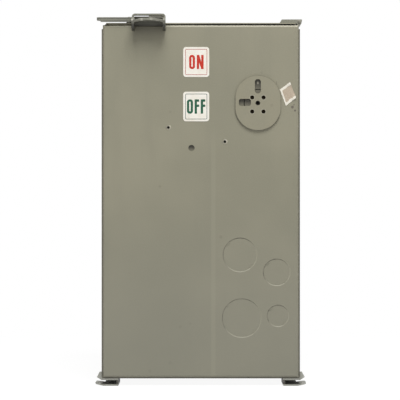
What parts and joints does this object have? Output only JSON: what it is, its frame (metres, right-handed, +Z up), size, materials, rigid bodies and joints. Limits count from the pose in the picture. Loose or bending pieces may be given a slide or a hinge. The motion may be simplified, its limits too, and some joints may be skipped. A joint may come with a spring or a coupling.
{
  "type": "busway plug-in switch enclosure",
  "caption": "Upright painted sheet-steel switch box with hinged top cover, latch lever, slotted operating disc, conduit knockouts and channel clips that hang it on a busbar duct.",
  "frame": {"origin": "middle of the base, on the surface that the clips stand on", "axes": "+Z up to the cover, -Y out of the operating end with the disc, +X to the hinged side"},
  "size_m": [0.271, 0.327, 0.4755],
  "materials": {
    "grey_paint": "satin enamel, worn",
    "plated_steel": "dull zinc plate",
    "copper": "tinned and tarnished copper",
    "moulded_insulation": "moulded",
    "fuse_tube": "fibre tube, metal caps",
    "lug_aluminium": "plain",
    "bronze": "sintered bronze",
    "bearing_plastic": "moulded",
    "gasket_rubber": "matt",
    "label_film": "printed vinyl",
    "tag_paper": "torn paper"
  },
  "bodies": {
    "case": {"case_wrapper": "grey_paint", "front_panel": "grey_paint", "rear_panel": "grey_paint", "hinge_bracket_front": "plated_steel", "hinge_bracket_rear": "plated_steel", "hinge_pins": "plated_steel", "hanger_clip_front_left": "plated_steel", "hanger_clip_front_right": "plated_steel", "hanger_clip_rear_left": "plated_steel", "hanger_clip_rear_right": "plated_steel", "shaft_bushing": "bronze", "bearing_bracket": "grey_paint", "panel_rivets": "plated_steel", "rear_bearing": "bearing_plastic", "line_base": "moulded_insulation", "jaw_bolts": "plated_steel", "load_base": "moulded_insulation", "clip_screws": "plated_steel", "lug_screws": "plated_steel", "ground_lug": "lug_aluminium", "line_bar_1": "copper", "line_bar_2": "copper", "line_bar_3": "copper", "stab_jaw_1": "copper", "stab_jaw_2": "copper", "stab_jaw_3": "copper", "line_jaw_1": "copper", "line_jaw_2": "copper", "line_jaw_3": "copper", "hinge_contact_1": "copper", "hinge_contact_2": "copper", "hinge_contact_3": "copper", "fuse_clips_1": "copper", "fuse_clips_2": "copper", "fuse_clips_3": "copper", "load_bar_1": "copper", "load_bar_2": "copper", "load_bar_3": "copper", "fuse_1": "fuse_tube", "fuse_2": "fuse_tube", "fuse_3": "fuse_tube", "load_lug_1": "lug_aluminium", "load_lug_2": "lug_aluminium", "load_lug_3": "lug_aluminium"},
    "cover": {"cover": "grey_paint", "cover_gaskets": "gasket_rubber", "interlock_striker": "plated_steel", "cover_rivets": "plated_steel", "hinge_leaf_front": "plated_steel", "hinge_leaf_rear": "plated_steel", "latch_post": "plated_steel"},
    "latch": {"latch_lever": "plated_steel"},
    "operator": {"operating_disc": "grey_paint", "drive_shaft": "plated_steel", "retaining_ring": "plated_steel", "rotor_bar": "moulded_insulation", "switch_blade_1": "copper", "switch_blade_2": "copper", "switch_blade_3": "copper"}
  },
  "joints": [
    {"name": "cover_hinge", "type": "hinge", "parent": "case", "child": "cover", "pos_m": [0.1264, 0.011, 0.4666], "axis": [0, 1, 0], "range_deg": [0, 115]},
    {"name": "latch_swing", "type": "hinge", "parent": "cover", "child": "latch", "pos_m": [-0.0912, -0.1355, 0.468], "axis": [0, 0, -1], "range_deg": [0, 55]},
    {"name": "operator_turn", "type": "hinge", "parent": "case", "child": "operator", "pos_m": [0.073, -0.1315, 0.362], "axis": [0, 1, 0], "range_deg": [0, 37]}
  ]
}
